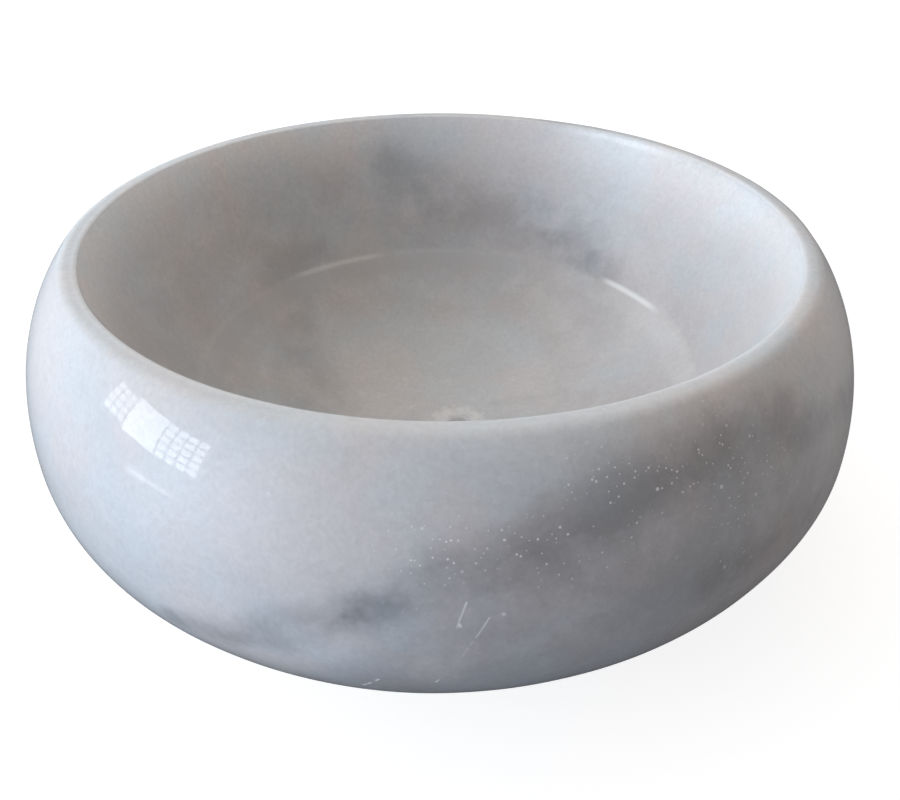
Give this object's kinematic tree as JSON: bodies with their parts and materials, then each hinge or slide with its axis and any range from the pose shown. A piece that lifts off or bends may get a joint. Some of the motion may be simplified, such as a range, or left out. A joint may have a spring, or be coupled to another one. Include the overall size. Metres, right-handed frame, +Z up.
{
  "type": "shaving bowl",
  "caption": "Round polished marble bowl with an incurved rim, thick walls and a dished floor, for working up shaving lather; it stands on small non-slip bumpers.",
  "frame": {"origin": "centre of the outside's footprint, on the surface that the bumpers stand on", "axes": "+Z up along the axis of the turned outside; +X towards the side that the floor is ground off centre to; +Y away from a viewer in front"},
  "size_m": [0.13, 0.13, 0.0514],
  "materials": {
    "marble": "gloss",
    "silicone": "satin"
  },
  "bodies": {
    "root": {"bowl": "marble", "foot_pad_1": "silicone", "foot_pad_2": "silicone", "foot_pad_3": "silicone", "foot_pad_4": "silicone"}
  },
  "joints": []
}
